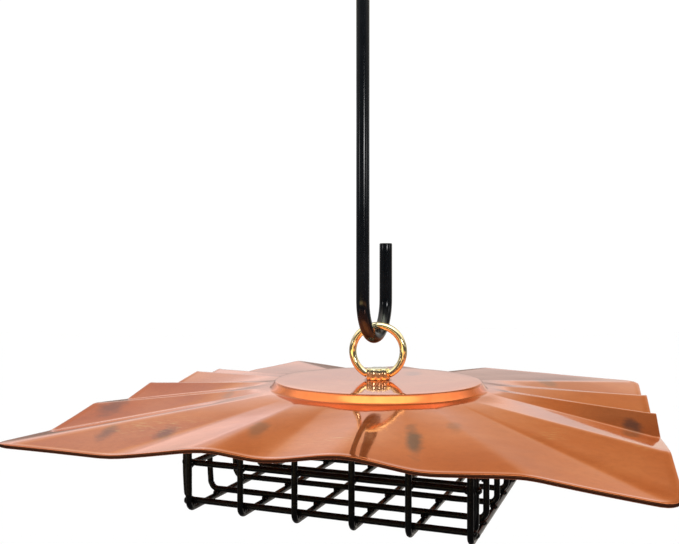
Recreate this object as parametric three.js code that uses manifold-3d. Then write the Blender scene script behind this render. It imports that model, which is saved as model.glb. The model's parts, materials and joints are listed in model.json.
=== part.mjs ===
// Hanging suet feeder: a wire basket under a fluted sheet-copper roof, on a black double-J hanger.
// Millimetres, +Z up. Origin: inner saddle of the upper hook, on the vertical line through both hooks.
// The basket's long sides run along X, and the front of the feeder faces -Y.

import * as THREE from 'three';
import { mergeVertices } from 'three/addons/utils/BufferGeometryUtils.js';
import Module from 'manifold-3d';

// ---- driving dimensions -------------------------------------------------------------------------

const GAP = 0.3; // clearance left between pieces that touch

// hanger: quarter-inch rod bent to the same open J at both ends
const HANGER_LENGTH = 305;
const ROD_D = 6.35;
const HOOK_HALF_W = 12.7; // to the centre of the rod
const HOOK_DEPTH = 18; // of the bend, along the rod's centre
const HOOK_TAIL = 27.5; // straight part of each short leg
const HANGER_TURN = -7; // degrees about Z

// everything below the hanger hangs a touch beside the middle of the hook
const HUNG_X = 1.5;
const HUNG_Y = 0.6;

// eye: brass wire ring brazed into a ribbed nut
const RING_WIRE_D = 3.6;
const RING_OUTER_D = 28.2;
const RING_SINK = 0.4; // the full ring would reach this far below the disc
const EYE_TURN = 12; // degrees about Z
const NUT_D = 11.5;
const NUT_H = 5.2;
const NUT_RIBS = 9;
const NUT_RIB_DEPTH = 0.45;

// M5 bolt and the pieces stacked on it
const BOLT_D = 5;
const BOLT_HEAD_D = 9.5;
const BOLT_HEAD_H = 2.75;
const BOLT_RECESS = 0.6; // the bolt ends this far below the top of the eye nut
const JAM_NUT_FLATS = 8;
const JAM_NUT_H = 2.5;
const CLAMP_WASHER_D = 38;
const ROOF_WASHER_D = 20;
const WASHER_T = 1.2;
const SEAL_D = 16;

// roof: square sheet with a raised disc in the middle, radial flutes and a hemmed rim
const ROOF_SIDE = 249.4;
const ROOF_CORNER_R = 8;
const ROOF_TURN = 4; // degrees about Z, relative to the basket
const SHEET_T = 0.8;
const DISC_R = 49.5; // flat top
const DISC_WALL_R = 51.6; // bottom of the disc's steep wall
const DISC_WALL_H = 3.1;
const DISC_FOOT_R = 53.5; // outer end of the fillet under the wall
const DISC_STEP = 3.8;
const HEM_W = 5;
const HEM_T = 1.5;

// Crests and troughs of the flutes, anticlockwise, in degrees from +X:
// [direction at the rim, height of the rim below the disc, direction at the disc's foot]
const FLUTES = [
  [-5, 8, 8], [9, 13.5, 15],
  [21.5, 9, 25], [36, 15.5, 37],
  [45, 12, 46], [60, 9.2, 60],
  [74, 7.2, 74], [86, 11, 86],
  [98, 8, 98], [112, 11, 112],
  [125, 7, 125], [136, 16, 136],
  [146.5, 8.8, 146.5], [152, 10.5, 152],
  [157, 6.8, 157], [168, 11, 168],
  [180, 6.5, 179], [190, 12, 187],
  [202, 9.6, 200], [213.5, 16.5, 212],
  [226, 14, 222], [241.5, 14.4, 237],
  [256, 9, 248], [266.5, 11.8, 263],
  [279, 7.6, 282], [290.5, 11.9, 294],
  [302.5, 10.2, 308], [314.5, 15.8, 322],
  [328.5, 10.3, 331], [345, 14, 356],
];
const TUCKED_CORNER = 226; // this corner is bent in from the true square
const CORNER_TUCK = 4;

// basket and lid: coated wire
const WIRE_D = 2.7;
const CAGE_X = -4.2; // middle of the mesh, measured from the bolt
const CAGE_Y = -0.5;
const CROSS_X = [-63.4, -37.8, -12.1, 13.5, 37.6, 62.5]; // the welds are a little uneven
const LEFT_LEGS_X = -66.3; // end legs of the long wires
const RIGHT_LEGS_X = 63.9;
const HALF_Y = 60.8; // to the front and back legs of the cross wires
const LONG_PITCH = 24.33;
const CAGE_BOTTOM = 53.1; // cross wires' centre line, below the top of the disc
const MID_HOOP_UP = 20; // the heights of the hoops and the lid are above the cross wires
const RIM_UP = 34.4;
const LID_UP = 37.6;
const WIRE_BEND_R = 3.4;
const HOOP_BEND_R = 4;

const HINGE_WIRE_D = 1.6;
const HINGE_Y = 24.1; // hinge rings sit this far to the front and back of the middle
const CLIP_W = 8;
const CLIP_T = 0.8;

// ---- sizes that follow ----------------------------------------------------------------------------

const ROD_R = ROD_D / 2;
const NEST = WIRE_D + GAP; // centre distance of two crossing wires
const HOOK_WIRE_Z = ROD_D - HANGER_LENGTH + ROD_R; // rod's centre at the bottom of the lower hook
const RING_R = (RING_OUTER_D - RING_WIRE_D) / 2;
const RING_Z = HOOK_WIRE_Z + ROD_R + GAP - (RING_R - RING_WIRE_D / 2);
const DISC_Z = RING_Z - RING_OUTER_D / 2 + RING_SINK;
const NUT_Z = DISC_Z + GAP;
const CAGE_Z = DISC_Z - CAGE_BOTTOM;
const LID_Z = CAGE_Z + LID_UP;
const LID_TOP_Z = LID_Z + NEST + WIRE_D / 2;
const LID_UNDER_Z = LID_Z - WIRE_D / 2;
const HOOP_LEFT_X = LEFT_LEGS_X + NEST;
const HOOP_RIGHT_X = RIGHT_LEGS_X - NEST;
const HOOP_Y = HALF_Y - NEST;
const LEG_TOP_Z = CAGE_Z + RIM_UP + WIRE_D / 2;

const LONG_OUTER_Y = HALF_Y - 3.3; // the outermost long wires, beside the front and back legs
const LONG_OUTER_LIFT = 0.3; // their extra height over the bends of the cross wires
const LONG_Y = [-LONG_OUTER_Y, -1.5 * LONG_PITCH, -0.5 * LONG_PITCH,
  0.5 * LONG_PITCH, 1.5 * LONG_PITCH, LONG_OUTER_Y];

// ---- materials ------------------------------------------------------------------------------------

const metal = (color, roughness, metalness) =>
  new THREE.MeshStandardMaterial({ color, roughness, metalness });
const blackPaint = metal(0x101010, 0.35, 0.3);
const rodPaint = metal(0x161312, 0.3, 0.4);
const copper = metal(0xc9784f, 0.22, 1);
const brass = metal(0xd9b25a, 0.2, 1);
const zinc = metal(0xb8bcc0, 0.35, 1);
const rubber = metal(0x1a1a1a, 0.8, 0);

const feeder = new THREE.Group();

function addPiece(name, geometry, material, parent = feeder) {
  const mesh = new THREE.Mesh(geometry, material);
  mesh.name = name;
  parent.add(mesh);
  return mesh;
}

// ---- wire forming -----------------------------------------------------------------------------------

// A wire's centre line through exact knots, so that straight runs need no extra sections.
class WirePath extends THREE.Curve {
  constructor(knots) {
    super();
    this.knots = knots;
  }

  getPoint(t, target = new THREE.Vector3()) {
    const place = t * (this.knots.length - 1);
    const index = Math.min(Math.floor(place), this.knots.length - 2);
    return target.lerpVectors(this.knots[index], this.knots[index + 1], place - index);
  }

  getPointAt(u, target) {
    return this.getPoint(u, target);
  }

  getTangentAt(u, target = new THREE.Vector3()) {
    const last = this.knots.length - 1;
    const index = Math.round(u * last);
    const here = this.knots[index];
    const ahead = this.knots[Math.min(index + 1, last)].clone().sub(here).normalize();
    const behind = here.clone().sub(this.knots[Math.max(index - 1, 0)]).normalize();
    return target.addVectors(ahead, behind).normalize();
  }
}

// Knots for a polyline whose inner corners are rounded to one bend radius.
function bentKnots(corners, bendRadius, bendSteps = 4) {
  const knots = [corners[0]];
  for (let i = 1; i < corners.length - 1; i += 1) {
    const corner = corners[i];
    const back = corners[i - 1].clone().sub(corner).normalize();
    const on = corners[i + 1].clone().sub(corner).normalize();
    const halfAngle = back.angleTo(on) / 2;
    const setback = bendRadius / Math.tan(halfAngle);
    const toCentre = back.clone().add(on).normalize().multiplyScalar(bendRadius / Math.sin(halfAngle));
    const centre = corner.clone().add(toCentre);
    const start = corner.clone().addScaledVector(back, setback).sub(centre);
    const axis = back.clone().cross(on).normalize();
    const sweep = 2 * halfAngle - Math.PI;
    for (let step = 0; step <= bendSteps; step += 1) {
      knots.push(start.clone().applyAxisAngle(axis, sweep * step / bendSteps).add(centre));
    }
  }
  knots.push(corners[corners.length - 1]);
  return knots;
}

function roundSection(radius, sides) {
  const shape = new THREE.Shape();
  for (let i = 0; i < sides; i += 1) {
    const angle = 2 * Math.PI * (i + 0.5) / sides;
    const point = [radius * Math.cos(angle), radius * Math.sin(angle)];
    if (i === 0) shape.moveTo(...point);
    else shape.lineTo(...point);
  }
  shape.closePath();
  return shape;
}

function wireGeometry(knots, diameter, sides = 8) {
  return new THREE.ExtrudeGeometry(roundSection(diameter / 2, sides), {
    steps: knots.length - 1,
    extrudePath: new WirePath(knots),
  });
}

function arcKnots(centre, radius, from, to, steps, toPoint) {
  const knots = [];
  for (let step = 0; step <= steps; step += 1) {
    const angle = THREE.MathUtils.degToRad(from + (to - from) * step / steps);
    knots.push(toPoint(centre[0] + radius * Math.cos(angle), centre[1] + radius * Math.sin(angle)));
  }
  return knots;
}

// ---- hanger -----------------------------------------------------------------------------------------

// The rod's centre line lies in the YZ plane; each bend is half an ellipse.
function hangerRod() {
  const inYZ = (y, z) => new THREE.Vector3(0, y, z);
  const bend = (centreZ) => (y, z) => inYZ(y * HOOK_HALF_W, centreZ + z * HOOK_DEPTH);
  const upperCentre = ROD_R - HOOK_DEPTH;
  const lowerCentre = HOOK_WIRE_Z + HOOK_DEPTH;
  const knots = [
    inYZ(HOOK_HALF_W, upperCentre - HOOK_TAIL),
    ...arcKnots([0, 0], 1, 0, 180, 14, bend(upperCentre)),
    ...arcKnots([0, 0], 1, 180, 360, 14, bend(lowerCentre)),
    inYZ(HOOK_HALF_W, lowerCentre + HOOK_TAIL),
  ];
  return wireGeometry(knots, ROD_D, 12);
}

const rod = addPiece('hanger_rod', hangerRod(), rodPaint);
rod.rotation.z = THREE.MathUtils.degToRad(HANGER_TURN);

const hung = new THREE.Group();
hung.position.set(HUNG_X, HUNG_Y, 0);
feeder.add(hung);

// ---- eye: ring and ribbed nut -------------------------------------------------------------------------

const RING_END = 25; // degrees from straight down to each end of the ring
const inXZ = (x, z) => new THREE.Vector3(x, 0, z);

function ringGeometry() {
  const knots = arcKnots([0, RING_Z], RING_R, -90 + RING_END, 270 - RING_END, 36, inXZ);
  return wireGeometry(knots, RING_WIRE_D, 10);
}

function ribbedOutline() {
  const shape = new THREE.Shape();
  const pointsPerRib = 4;
  const count = NUT_RIBS * pointsPerRib;
  for (let i = 0; i < count; i += 1) {
    const angle = 2 * Math.PI * i / count;
    const radius = NUT_D / 2 - NUT_RIB_DEPTH * (1 - Math.cos(NUT_RIBS * angle)) / 2;
    const point = [radius * Math.cos(angle), radius * Math.sin(angle)];
    if (i === 0) shape.moveTo(...point);
    else shape.lineTo(...point);
  }
  shape.closePath();
  return shape;
}

function withBore(shape, radius, sides = 24) {
  const bore = new THREE.Path();
  for (let i = 0; i < sides; i += 1) {
    const angle = -2 * Math.PI * i / sides;
    const point = [radius * Math.cos(angle), radius * Math.sin(angle)];
    if (i === 0) bore.moveTo(...point);
    else bore.lineTo(...point);
  }
  bore.closePath();
  shape.holes.push(bore);
  return shape;
}

function flatPiece(shape, height, z) {
  const geometry = new THREE.ExtrudeGeometry(shape, { depth: height, bevelEnabled: false });
  return geometry.translate(0, 0, z);
}

const wasm = await Module();
wasm.setup();

function toSolid(geometry) {
  const bare = geometry.clone();
  bare.deleteAttribute('normal');
  bare.deleteAttribute('uv');
  const merged = mergeVertices(bare, 1e-4);
  return new wasm.Manifold(new wasm.Mesh({
    numProp: 3,
    vertProperties: new Float32Array(merged.attributes.position.array),
    triVerts: new Uint32Array(merged.index.array),
  }));
}

function toGeometry(solid) {
  const mesh = solid.getMesh();
  const geometry = new THREE.BufferGeometry();
  geometry.setAttribute('position', new THREE.BufferAttribute(mesh.vertProperties, 3));
  geometry.setIndex(new THREE.BufferAttribute(mesh.triVerts, 1));
  geometry.computeVertexNormals();
  return geometry;
}

// The nut has a bore for the bolt and a pocket on each side for an end of the ring.
function eyeNutGeometry() {
  const boreRadius = BOLT_D / 2 + GAP;
  let solid = toSolid(flatPiece(withBore(ribbedOutline(), boreRadius), NUT_H, NUT_Z));
  const pocketEnd = RING_END - 1.6; // degrees: a little past the ring's end
  const pocketReach = 30; // degrees: out through the side of the nut
  for (const side of [-1, 1]) {
    const from = -90 + side * pocketEnd;
    const knots = arcKnots([0, RING_Z], RING_R, from, from + side * pocketReach, 8, inXZ);
    solid = solid.subtract(toSolid(wireGeometry(knots, RING_WIRE_D + 2 * GAP, 10)));
  }
  return toGeometry(solid);
}

const eye = new THREE.Group();
eye.rotation.z = THREE.MathUtils.degToRad(EYE_TURN);
hung.add(eye);

addPiece('eye_ring', ringGeometry(), brass, eye);
addPiece('eye_nut', eyeNutGeometry(), brass, eye);

// ---- bolt, washers and nuts, from the bottom up ---------------------------------------------------------

function disc(diameter, sides = 32) {
  return roundSection(diameter / 2, sides);
}

function washer(diameter, z, thickness = WASHER_T) {
  return flatPiece(withBore(disc(diameter), BOLT_D / 2 + GAP), thickness, z);
}

function hexNut(z) {
  const acrossCorners = JAM_NUT_FLATS / Math.cos(Math.PI / 6);
  return flatPiece(withBore(disc(acrossCorners, 6), BOLT_D / 2 + GAP), JAM_NUT_H, z);
}

const lowerWasherZ = LID_UNDER_Z - GAP - WASHER_T;
const upperWasherZ = LID_TOP_Z + GAP;
const lidNutZ = upperWasherZ + WASHER_T + GAP;
const roofNutZ = lidNutZ + JAM_NUT_H + GAP;
const backingWasherZ = roofNutZ + JAM_NUT_H + GAP;
const sealZ = backingWasherZ + WASHER_T + GAP;
const sealThickness = DISC_Z - SHEET_T - GAP - sealZ;

function boltGeometry() {
  const shoulder = lowerWasherZ - GAP;
  const shankTop = NUT_Z + NUT_H - BOLT_RECESS;
  const radius = BOLT_D / 2;
  const headRadius = BOLT_HEAD_D / 2;
  const profile = [
    new THREE.Vector2(0, shoulder - BOLT_HEAD_H),
    new THREE.Vector2(headRadius * 0.55, shoulder - BOLT_HEAD_H * 0.88),
    new THREE.Vector2(headRadius * 0.88, shoulder - BOLT_HEAD_H * 0.5),
    new THREE.Vector2(headRadius, shoulder),
    new THREE.Vector2(radius, shoulder),
    new THREE.Vector2(radius, shankTop - 0.5),
    new THREE.Vector2(radius - 0.5, shankTop),
    new THREE.Vector2(0, shankTop),
  ];
  return new THREE.LatheGeometry(profile, 24).rotateX(Math.PI / 2);
}

addPiece('lid_bolt', boltGeometry(), zinc, hung);
addPiece('clamp_washer_lower', washer(CLAMP_WASHER_D, lowerWasherZ), zinc, hung);
addPiece('clamp_washer_upper', washer(CLAMP_WASHER_D, upperWasherZ), zinc, hung);
addPiece('lid_jam_nut', hexNut(lidNutZ), zinc, hung);
addPiece('roof_jam_nut', hexNut(roofNutZ), zinc, hung);
addPiece('roof_backing_washer', washer(ROOF_WASHER_D, backingWasherZ), zinc, hung);
addPiece('roof_seal_washer', washer(SEAL_D, sealZ, sealThickness), rubber, hung);

// ---- roof ---------------------------------------------------------------------------------------------

// Distance from the centre to the rim of the rounded square in one direction.
function rimRadius(azimuth) {
  const half = ROOF_SIDE / 2;
  const folded = Math.abs(((azimuth % 90) + 90) % 90 - 45);
  const fromFace = THREE.MathUtils.degToRad(45 - folded);
  const flat = half / Math.cos(fromFace);
  const cornerStart = half - ROOF_CORNER_R;
  if (flat * Math.sin(fromFace) <= cornerStart) return flat;
  // the corner arc: solve |d * direction - (c, c)| = corner radius for the far crossing
  const along = cornerStart * (Math.cos(fromFace) + Math.sin(fromFace));
  return along + Math.sqrt(along ** 2 - 2 * cornerStart ** 2 + ROOF_CORNER_R ** 2);
}

const STEPS_PER_FLUTE = 4;

// The rim at one of the even steps between two neighbouring creases.
function rimAt(step) {
  const index = Math.floor(step / STEPS_PER_FLUTE) % FLUTES.length;
  const here = FLUTES[index];
  const next = FLUTES[(index + 1) % FLUTES.length];
  const wrap = index + 1 < FLUTES.length ? 0 : 360;
  const share = (step % STEPS_PER_FLUTE) / STEPS_PER_FLUTE;
  const azimuth = THREE.MathUtils.lerp(here[0], next[0] + wrap, share);
  const drop = THREE.MathUtils.lerp(here[1], next[1], share);
  const footAzimuth = THREE.MathUtils.lerp(here[2], next[2] + wrap, share);
  const tuckHere = here[0] === TUCKED_CORNER ? CORNER_TUCK : 0;
  const tuckNext = next[0] === TUCKED_CORNER ? CORNER_TUCK : 0;
  const radius = rimRadius(azimuth) - THREE.MathUtils.lerp(tuckHere, tuckNext, share);
  return { azimuth, radius, drop, footAzimuth };
}

function polar(radius, azimuth) {
  const angle = THREE.MathUtils.degToRad(azimuth);
  return new THREE.Vector2(radius * Math.cos(angle), radius * Math.sin(angle));
}

// The sheet is turned as a closed section. Past the disc's foot, a station's radius is the foot
// radius plus its share of the way to the rim; each share is then moved out along the creases.
function roofGeometry() {
  const hole = BOLT_D / 2 + GAP;
  const middle = [[hole, 0], [DISC_R, 0], [DISC_WALL_R, -DISC_WALL_H], [DISC_FOOT_R, -DISC_STEP]];
  const hemShare = 1 - HEM_W / (ROOF_SIDE / 2 - DISC_FOOT_R);
  const field = (share, depth) => [DISC_FOOT_R + share, -DISC_STEP - depth];
  const topSide = [...middle, field(0.25, 0), field(0.6, 0), field(1, 0)];
  const underSide = [
    ...middle.map(([radius, z]) => [radius, z - SHEET_T]),
    field(0.25, SHEET_T), field(0.6, SHEET_T), field(hemShare - 0.02, SHEET_T),
    field(hemShare, HEM_T), field(1, HEM_T),
  ];
  const profile = [...underSide, ...topSide.reverse(), underSide[0]]
    .map(([radius, z]) => new THREE.Vector2(radius, z));
  const steps = FLUTES.length * STEPS_PER_FLUTE;
  const geometry = new THREE.LatheGeometry(profile, steps).rotateX(Math.PI / 2);
  const place = geometry.attributes.position;
  for (let i = 0; i < place.count; i += 1) {
    const { azimuth, radius, drop, footAzimuth } = rimAt(Math.floor(i / profile.length) % steps);
    const station = profile[i % profile.length].x;
    const share = Math.max(station - DISC_FOOT_R, 0);
    const foot = polar(Math.min(station, DISC_FOOT_R), footAzimuth);
    const at = foot.lerp(polar(radius, azimuth), share);
    place.setXYZ(i, at.x, at.y, place.getZ(i) - share * (drop - DISC_STEP));
  }
  geometry.computeVertexNormals();
  return geometry;
}

const roof = addPiece('roof_canopy', roofGeometry(), copper, hung);
roof.position.z = DISC_Z;
roof.rotation.z = THREE.MathUtils.degToRad(ROOF_TURN);

// ---- lid: a flat grille clamped under the roof ---------------------------------------------------------

const cage = new THREE.Group();
cage.position.set(CAGE_X, CAGE_Y, 0);
hung.add(cage);

// A rectangular hoop of wire, butted at the middle of its back run.
function hoopGeometry(z) {
  const at = (x, y) => new THREE.Vector3(x, y, z);
  const corners = [at(GAP / 2, HOOP_Y), at(HOOP_RIGHT_X, HOOP_Y), at(HOOP_RIGHT_X, -HOOP_Y),
    at(HOOP_LEFT_X, -HOOP_Y), at(HOOP_LEFT_X, HOOP_Y), at(-GAP / 2, HOOP_Y)];
  return wireGeometry(bentKnots(corners, HOOP_BEND_R), WIRE_D);
}

function straightWire(from, to) {
  return wireGeometry([from, to], WIRE_D);
}

addPiece('lid_frame', hoopGeometry(LID_Z), blackPaint, cage);

LONG_Y.slice(1, 5).forEach((y, i) => {
  const z = LID_Z + NEST;
  const from = new THREE.Vector3(HOOP_LEFT_X - WIRE_D / 2, y, z);
  const wire = straightWire(from, new THREE.Vector3(HOOP_RIGHT_X + WIRE_D / 2, y, z));
  addPiece(`lid_long_wire_${i}`, wire, blackPaint, cage);
});

CROSS_X.slice(1, 5).forEach((x, i) => {
  const reach = HOOP_Y - WIRE_D / 2 - GAP;
  const wire = straightWire(new THREE.Vector3(x, -reach, LID_Z), new THREE.Vector3(x, reach, LID_Z));
  addPiece(`lid_cross_wire_${i}`, wire, blackPaint, cage);
});

// Spring clip: a strip bent over the lid frame, its two legs gripping the basket's rim.
function springClipGeometry() {
  const inner = WIRE_D / 2 + GAP;
  const outer = inner + CLIP_T;
  const legEnd = RIM_UP - LID_UP - WIRE_D / 2;
  const flare = 1;
  const shape = new THREE.Shape();
  shape.moveTo(outer, 0);
  shape.absarc(0, 0, outer, 0, Math.PI, false);
  shape.lineTo(-outer, legEnd);
  shape.lineTo(-outer - flare, legEnd - flare);
  shape.lineTo(-outer - flare + CLIP_T, legEnd - flare - 0.4);
  shape.lineTo(-inner, legEnd - 0.2);
  shape.lineTo(-inner, 0);
  shape.absarc(0, 0, inner, Math.PI, 0, true);
  shape.lineTo(inner, legEnd - 0.2);
  shape.lineTo(outer + flare - CLIP_T, legEnd - flare - 0.4);
  shape.lineTo(outer + flare, legEnd - flare);
  shape.lineTo(outer, legEnd);
  shape.closePath();
  const geometry = new THREE.ExtrudeGeometry(shape, {
    depth: CLIP_W,
    bevelEnabled: false,
    curveSegments: 10,
  });
  return geometry.translate(0, 0, -CLIP_W / 2).rotateX(Math.PI / 2);
}

const clip = addPiece('lid_spring_clip', springClipGeometry(), zinc, cage);
clip.position.set(HOOP_RIGHT_X, 0, LID_Z);

// ---- basket -------------------------------------------------------------------------------------------

CROSS_X.forEach((x, i) => {
  const at = (y, z) => new THREE.Vector3(x, y, z);
  const corners = [at(-HALF_Y, LEG_TOP_Z), at(-HALF_Y, CAGE_Z), at(HALF_Y, CAGE_Z), at(HALF_Y, LEG_TOP_Z)];
  const wire = wireGeometry(bentKnots(corners, WIRE_BEND_R), WIRE_D);
  addPiece(`basket_cross_wire_${i}`, wire, blackPaint, cage);
});

LONG_Y.forEach((y, i) => {
  const outer = i === 0 || i === LONG_Y.length - 1;
  const low = CAGE_Z + NEST + (outer ? LONG_OUTER_LIFT : 0);
  const at = (x, z) => new THREE.Vector3(x, y, z);
  const corners = [at(LEFT_LEGS_X, LEG_TOP_Z), at(LEFT_LEGS_X, low),
    at(RIGHT_LEGS_X, low), at(RIGHT_LEGS_X, LEG_TOP_Z)];
  const wire = wireGeometry(bentKnots(corners, WIRE_BEND_R), WIRE_D);
  addPiece(`basket_long_wire_${i}`, wire, blackPaint, cage);
});

addPiece('basket_mid_hoop', hoopGeometry(CAGE_Z + MID_HOOP_UP), blackPaint, cage);
addPiece('basket_rim_hoop', hoopGeometry(CAGE_Z + RIM_UP), blackPaint, cage);

// Hinge rings: closed on the basket's rim and free to turn on the lid frame's left wire.
function hingeRingGeometry() {
  const across = (WIRE_D + HINGE_WIRE_D) / 2 + GAP;
  const drop = LID_UP - RIM_UP;
  const knots = [
    ...arcKnots([0, 0], across, -4, 184, 10, inXZ),
    ...arcKnots([0, -drop], across, 180, 354, 9, inXZ),
  ];
  knots[0] = inXZ(across, -0.15);
  return wireGeometry(knots, HINGE_WIRE_D);
}

for (const [name, side] of [['front', -1], ['back', 1]]) {
  const ring = addPiece(`hinge_ring_${name}`, hingeRingGeometry(), zinc, cage);
  ring.position.set(HOOP_LEFT_X, side * HINGE_Y, LID_Z);
}

export default feeder;
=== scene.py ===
import json
import math

import bpy
from mathutils import Matrix, Vector, noise


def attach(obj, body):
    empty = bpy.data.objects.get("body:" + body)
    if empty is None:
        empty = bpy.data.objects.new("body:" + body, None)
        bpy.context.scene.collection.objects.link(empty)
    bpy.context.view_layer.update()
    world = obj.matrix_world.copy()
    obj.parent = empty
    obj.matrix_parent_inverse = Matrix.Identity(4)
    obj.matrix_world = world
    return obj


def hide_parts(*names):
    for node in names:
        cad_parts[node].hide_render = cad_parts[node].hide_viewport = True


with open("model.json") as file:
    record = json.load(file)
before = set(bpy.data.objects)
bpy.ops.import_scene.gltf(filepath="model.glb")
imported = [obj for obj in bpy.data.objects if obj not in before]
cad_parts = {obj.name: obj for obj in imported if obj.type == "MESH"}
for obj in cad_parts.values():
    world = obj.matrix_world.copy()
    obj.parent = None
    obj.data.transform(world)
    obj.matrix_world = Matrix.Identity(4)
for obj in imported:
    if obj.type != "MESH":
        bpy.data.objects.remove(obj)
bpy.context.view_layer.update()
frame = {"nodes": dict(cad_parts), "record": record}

MM = 0.001

# ---- sizes in millimetres, as in the CAD unless a comment says otherwise ------------------------------

ROD_R = 3.175
HOOK_HALF_W = 12.7
HOOK_DEPTH = 18.0
HOOK_TAIL = 27.5
HOOK_WIRE_Z = -295.475  # the rod's centre line at the bottom of the lower hook
HANGER_TURN = math.radians(-7)

HUNG = Vector((1.5, 0.6, 0.0))  # the axis that all hung pieces share, off the hanger's own

RING_WIRE_R = 1.8
RING_R = 12.3
RING_Z = -302.5
RING_END = 25.0  # degrees from straight down to each end of the ring's wire
EYE_TURN = math.radians(12)
NUT_R = 5.75
NUT_H = 5.2

DISC_Z = -316.2
ROOF_HALF = 124.7
ROOF_CORNER_R = 8.0
ROOF_TURN = math.radians(4)
SHEET_T = 0.8
HEM_T = 1.5
HEM_W = 5.0
DISC_R = 49.5
DISC_WALL_R = 51.6
DISC_WALL_H = 3.1
DISC_FOOT_R = 53.5
DISC_STEP = 3.8
BOLT_HOLE_R = 2.8  # the hole in the roof

# crests and troughs: direction at the rim, drop below the disc, direction at the disc's foot
FLUTES = [
    (-5, 8, 8), (9, 13.5, 15), (21.5, 9, 25), (36, 15.5, 37), (45, 12, 46), (60, 9.2, 60),
    (74, 7.2, 74), (86, 11, 86), (98, 8, 98), (112, 11, 112), (125, 7, 125), (136, 16, 136),
    (146.5, 8.8, 146.5), (152, 10.5, 152), (157, 6.8, 157), (168, 11, 168), (180, 6.5, 179),
    (190, 12, 187), (202, 9.6, 200), (213.5, 16.5, 212), (226, 14, 222), (241.5, 14.4, 237),
    (256, 9, 248), (266.5, 11.8, 263), (279, 7.6, 282), (290.5, 11.9, 294), (302.5, 10.2, 308),
    (314.5, 15.8, 322), (328.5, 10.3, 331), (345, 14, 356),
]
TUCKED = 226  # the front left corner, which is bent in
CORNER_TUCK = 4.0

CAGE = HUNG + Vector((-4.2, -0.5, 0.0))  # the middle of the basket, seen from above
CAGE_Z = DISC_Z - 53.1
WIRE_R = 1.35
NEST = 3.0  # from one wire's centre line to that of the wire it rests on
CROSS_X = (-63.4, -37.8, -12.1, 13.5, 37.6, 62.5)
LEFT_LEGS_X = -66.3
RIGHT_LEGS_X = 63.9
HALF_Y = 60.8
LONG_PITCH = 24.33
LONG_OUTER_Y = HALF_Y - 3.3
LONG_Y = (-LONG_OUTER_Y, -1.5 * LONG_PITCH, -0.5 * LONG_PITCH,
          0.5 * LONG_PITCH, 1.5 * LONG_PITCH, LONG_OUTER_Y)
LONG_OUTER_LIFT = 0.3
MID_HOOP_UP = 20.0
RIM_UP = 34.4
LID_UP = 37.6
LID_Z = CAGE_Z + LID_UP
HOOP_LEFT_X = LEFT_LEGS_X + NEST
HOOP_RIGHT_X = RIGHT_LEGS_X - NEST
HOOP_Y = HALF_Y - NEST
LEG_TOP_Z = CAGE_Z + RIM_UP + WIRE_R
BEND_R = 3.4
HOOP_BEND_R = 2.2  # tighter than in the CAD, so that the hoops reach the corner posts
HINGE_Y = 24.1
HINGE_WIRE_R = 0.8
LEG_LEAN = 0.9  # the left end legs bow outward by this much

# ---- camera -----------------------------------------------------------------------------------------

CAMERA_YAW = math.radians(21.405)

camera_data = bpy.data.cameras.new("camera")
camera_data.lens = 42.415
camera_data.sensor_width = 36.0
camera_data.clip_start = 0.01
camera_data.clip_end = 50.0
camera = bpy.data.objects.new("camera", camera_data)
bpy.context.collection.objects.link(camera)
camera.location = Vector((125.4, -366.5, -264.3)) * MM
camera.rotation_euler = (math.radians(90), 0.0, CAMERA_YAW)
bpy.context.scene.camera = camera


# ---- node helpers -----------------------------------------------------------------------------------

class Nodes:
    """A thin wrapper that adds and links shader nodes."""

    def __init__(self, tree):
        self.tree = tree
        tree.nodes.clear()

    def add(self, kind, inputs=None, **settings):
        node = self.tree.nodes.new(kind)
        for key, value in settings.items():
            setattr(node, key, value)
        for key, value in (inputs or {}).items():
            self.feed(value, node.inputs[key])
        return node

    def feed(self, value, socket):
        if isinstance(value, bpy.types.NodeSocket):
            self.tree.links.new(value, socket)
        else:
            socket.default_value = value

    def noise(self, where, scale, detail=3.0, rough=0.5, distortion=0.0):
        node = self.add("ShaderNodeTexNoise", {"Vector": where, "Scale": scale, "Detail": detail,
                                               "Roughness": rough, "Distortion": distortion})
        return node.outputs["Fac"]

    def ramp(self, value, stops):
        node = self.add("ShaderNodeValToRGB", {"Fac": value})
        elements = node.color_ramp.elements
        while len(elements) < len(stops):
            elements.new(0.5)
        for element, (place, colour) in zip(elements, stops):
            element.position = place
            element.color = (*colour, 1.0)
        return node.outputs["Color"]

    def math(self, operation, a, b=0.0):
        node = self.add("ShaderNodeMath", {0: a, 1: b}, operation=operation)
        return node.outputs[0]

    def scale_range(self, value, low, high, to_low, to_high, smooth=False):
        node = self.add("ShaderNodeMapRange", {"Value": value, "From Min": low, "From Max": high,
                                               "To Min": to_low, "To Max": to_high})
        if smooth:
            node.interpolation_type = "SMOOTHSTEP"
        return node.outputs["Result"]

    def mix(self, factor, a, b, blend="MIX"):
        node = self.add("ShaderNodeMix", data_type="RGBA", blend_type=blend)
        self.feed(factor, node.inputs[0])
        self.feed(a, node.inputs[6])
        self.feed(b, node.inputs[7])
        return node.outputs[2]

    def bump(self, height, distance, strength):
        node = self.add("ShaderNodeBump", {"Height": height, "Distance": distance,
                                           "Strength": strength})
        return node.outputs["Normal"]


def rgb(r, g, b):
    return (r, g, b, 1.0)


def new_material(name):
    material = bpy.data.materials.new(name)
    material.use_nodes = True
    nodes = Nodes(material.node_tree)
    shader = nodes.add("ShaderNodeBsdfPrincipled")
    output = nodes.add("ShaderNodeOutputMaterial")
    nodes.tree.links.new(shader.outputs[0], output.inputs["Surface"])
    where = nodes.add("ShaderNodeTexCoord").outputs["Object"]
    return material, nodes, shader, where


# ---- materials --------------------------------------------------------------------------------------

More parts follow.
